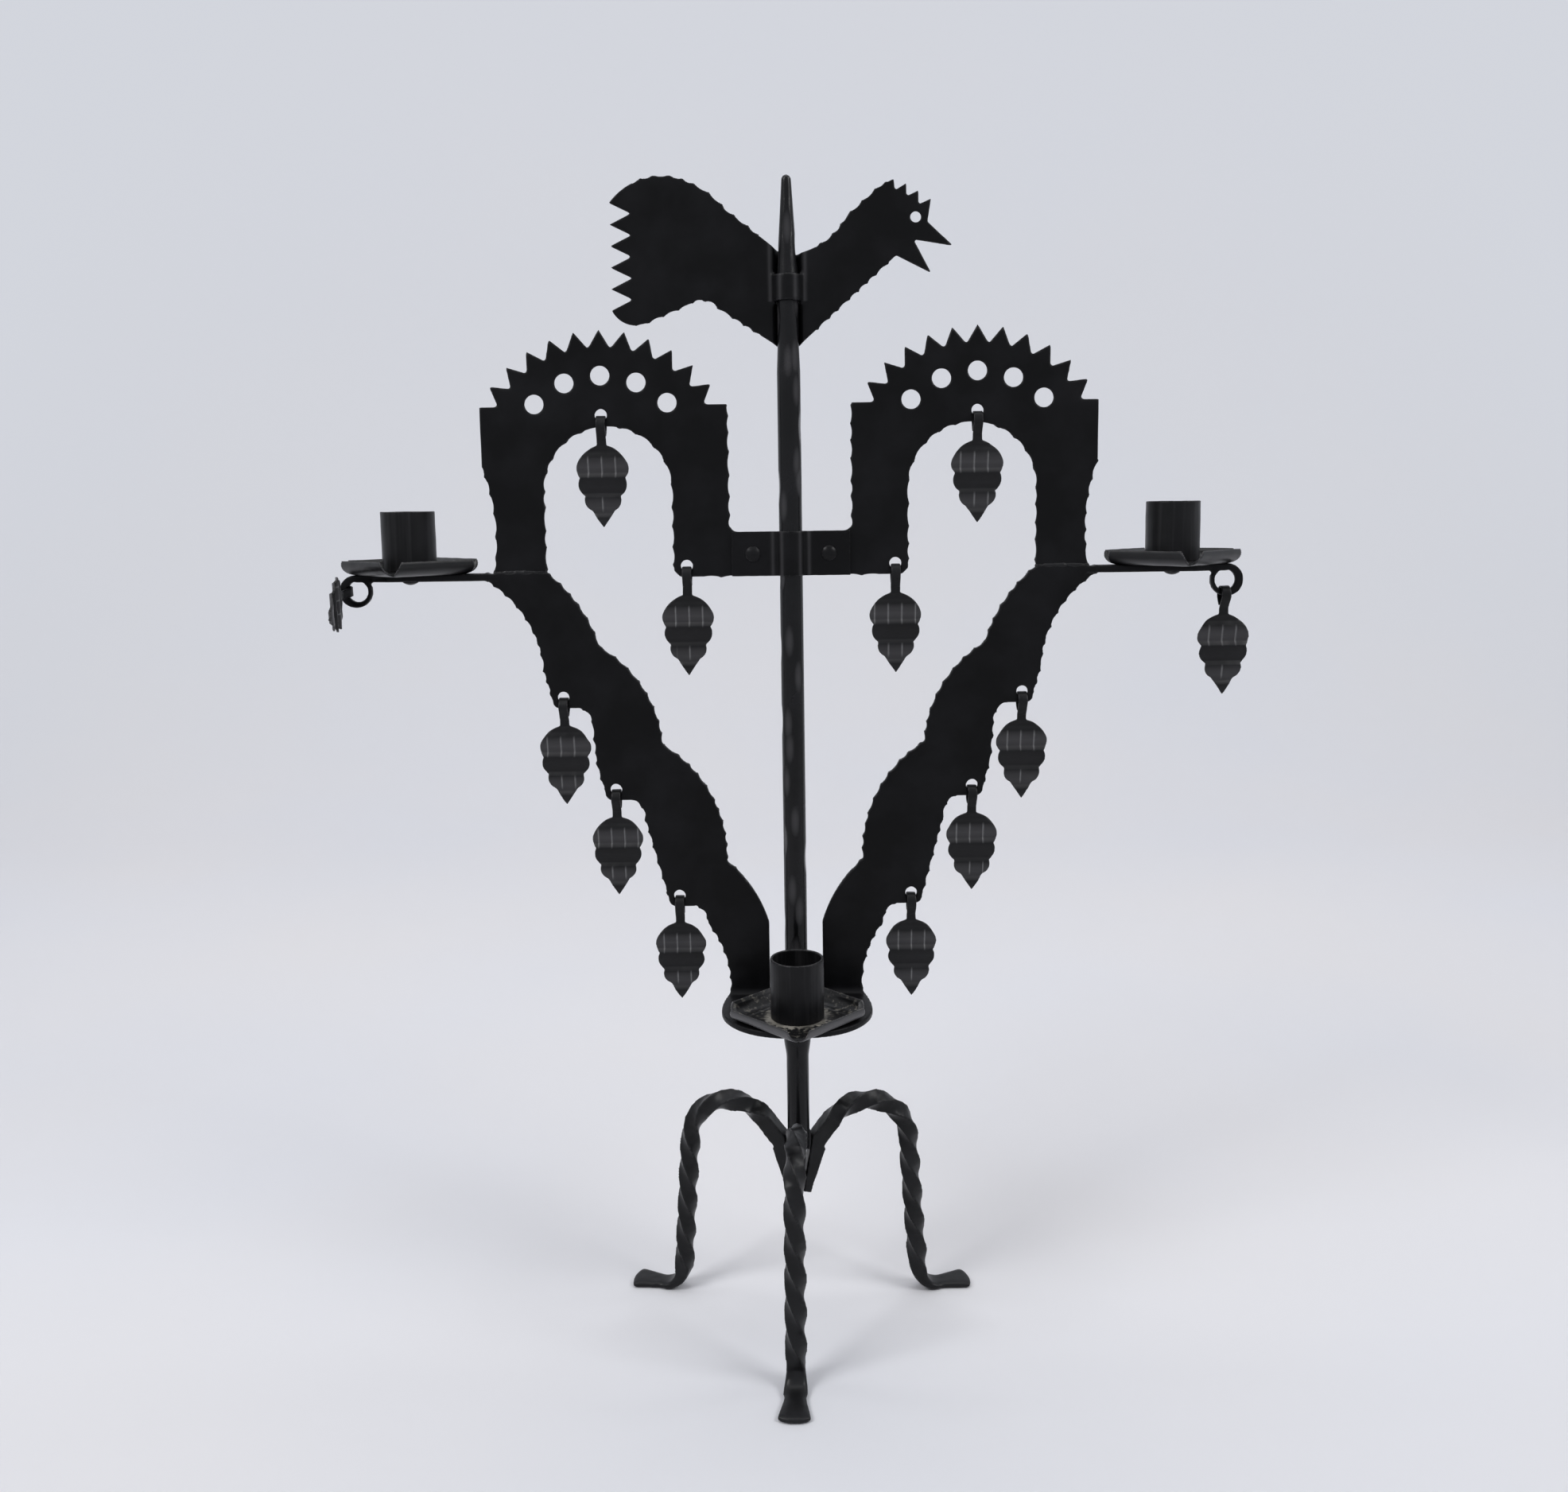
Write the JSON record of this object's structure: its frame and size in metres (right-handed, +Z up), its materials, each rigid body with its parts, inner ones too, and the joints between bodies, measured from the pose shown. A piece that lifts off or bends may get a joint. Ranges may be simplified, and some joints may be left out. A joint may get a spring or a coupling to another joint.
{
  "type": "candelabra",
  "caption": "Wrought-iron candelabra: a stem on twisted legs, serpentine arms with candle pans, pierced arches, hanging leaves and a sheet-metal rooster that turns on the spike.",
  "frame": {"origin": "on the floor, under the axis of the stem", "axes": "+Z up along the stem, +X to the viewer's right along the arms, -Y to the viewer and the front pan"},
  "size_m": [0.4357, 0.1214, 0.5533],
  "materials": {
    "sheet_paint": "satin black",
    "bar_paint": "satin black, hammered",
    "pan_paint": "satin black, worn",
    "leaf_paint": "satin black, scored"
  },
  "bodies": {
    "stand": {"stem": "bar_paint", "leg_front": "bar_paint", "leg_right": "bar_paint", "leg_left": "bar_paint", "arch_right": "sheet_paint", "arch_left": "sheet_paint", "strap_front": "sheet_paint", "strap_back": "sheet_paint", "strap_rivets": "bar_paint", "arm_right": "sheet_paint", "arm_left": "sheet_paint", "pan_front": "pan_paint", "socket_front": "pan_paint", "pan_left": "pan_paint", "socket_left": "pan_paint", "pan_right": "pan_paint", "socket_right": "pan_paint", "pan_rivets": "bar_paint"},
    "rooster": {"rooster": "sheet_paint"},
    "leaf_arch_left": {"leaf_arch_left": "leaf_paint"},
    "leaf_arch_right": {"leaf_arch_right": "leaf_paint"},
    "leaf_corner_left": {"leaf_corner_left": "leaf_paint"},
    "leaf_corner_right": {"leaf_corner_right": "leaf_paint"},
    "leaf_upper_left": {"leaf_upper_left": "leaf_paint"},
    "leaf_upper_right": {"leaf_upper_right": "leaf_paint"},
    "leaf_middle_left": {"leaf_middle_left": "leaf_paint"},
    "leaf_middle_right": {"leaf_middle_right": "leaf_paint"},
    "leaf_lower_left": {"leaf_lower_left": "leaf_paint"},
    "leaf_lower_right": {"leaf_lower_right": "leaf_paint"},
    "leaf_eye_left": {"leaf_eye_left": "leaf_paint"},
    "leaf_eye_right": {"leaf_eye_right": "leaf_paint"}
  },
  "joints": [
    {"name": "rooster_turn", "type": "hinge", "parent": "stand", "child": "rooster", "pos_m": [0, 0, 0.502], "axis": [0, 0, 1], "continuous": true},
    {"name": "leaf_arch_left_swing", "type": "hinge", "parent": "stand", "child": "leaf_arch_left", "pos_m": [-0.0883, 0, 0.4407], "axis": [1, 0, 0], "range_deg": [-45, 45]},
    {"name": "leaf_arch_right_swing", "type": "hinge", "parent": "stand", "child": "leaf_arch_right", "pos_m": [0.0883, 0, 0.4407], "axis": [1, 0, 0], "range_deg": [-45, 45]},
    {"name": "leaf_corner_left_swing", "type": "hinge", "parent": "stand", "child": "leaf_corner_left", "pos_m": [-0.0495, 0, 0.3697], "axis": [1, 0, 0], "range_deg": [-45, 45]},
    {"name": "leaf_corner_right_swing", "type": "hinge", "parent": "stand", "child": "leaf_corner_right", "pos_m": [0.0495, 0, 0.3697], "axis": [1, 0, 0], "range_deg": [-45, 45]},
    {"name": "leaf_upper_left_swing", "type": "hinge", "parent": "stand", "child": "leaf_upper_left", "pos_m": [-0.11, 0, 0.3076], "axis": [1, 0, 0], "range_deg": [-45, 45]},
    {"name": "leaf_upper_right_swing", "type": "hinge", "parent": "stand", "child": "leaf_upper_right", "pos_m": [0.11, 0, 0.3076], "axis": [1, 0, 0], "range_deg": [-45, 45]},
    {"name": "leaf_middle_left_swing", "type": "hinge", "parent": "stand", "child": "leaf_middle_left", "pos_m": [-0.086, 0, 0.2624], "axis": [1, 0, 0], "range_deg": [-45, 45]},
    {"name": "leaf_middle_right_swing", "type": "hinge", "parent": "stand", "child": "leaf_middle_right", "pos_m": [0.086, 0, 0.2624], "axis": [1, 0, 0], "range_deg": [-45, 45]},
    {"name": "leaf_lower_left_swing", "type": "hinge", "parent": "stand", "child": "leaf_lower_left", "pos_m": [-0.0565, 0, 0.2093], "axis": [1, 0, 0], "range_deg": [-45, 45]},
    {"name": "leaf_lower_right_swing", "type": "hinge", "parent": "stand", "child": "leaf_lower_right", "pos_m": [0.0565, 0, 0.2093], "axis": [1, 0, 0], "range_deg": [-45, 45]},
    {"name": "leaf_eye_left_swing", "type": "hinge", "parent": "stand", "child": "leaf_eye_left", "pos_m": [-0.21295, 0, 0.3642], "axis": [0, 0, 1], "range_deg": [-30, 20]},
    {"name": "leaf_eye_right_swing", "type": "hinge", "parent": "stand", "child": "leaf_eye_right", "pos_m": [0.2061, 0, 0.3571], "axis": [1, 0, 0], "range_deg": [-45, 45]}
  ]
}
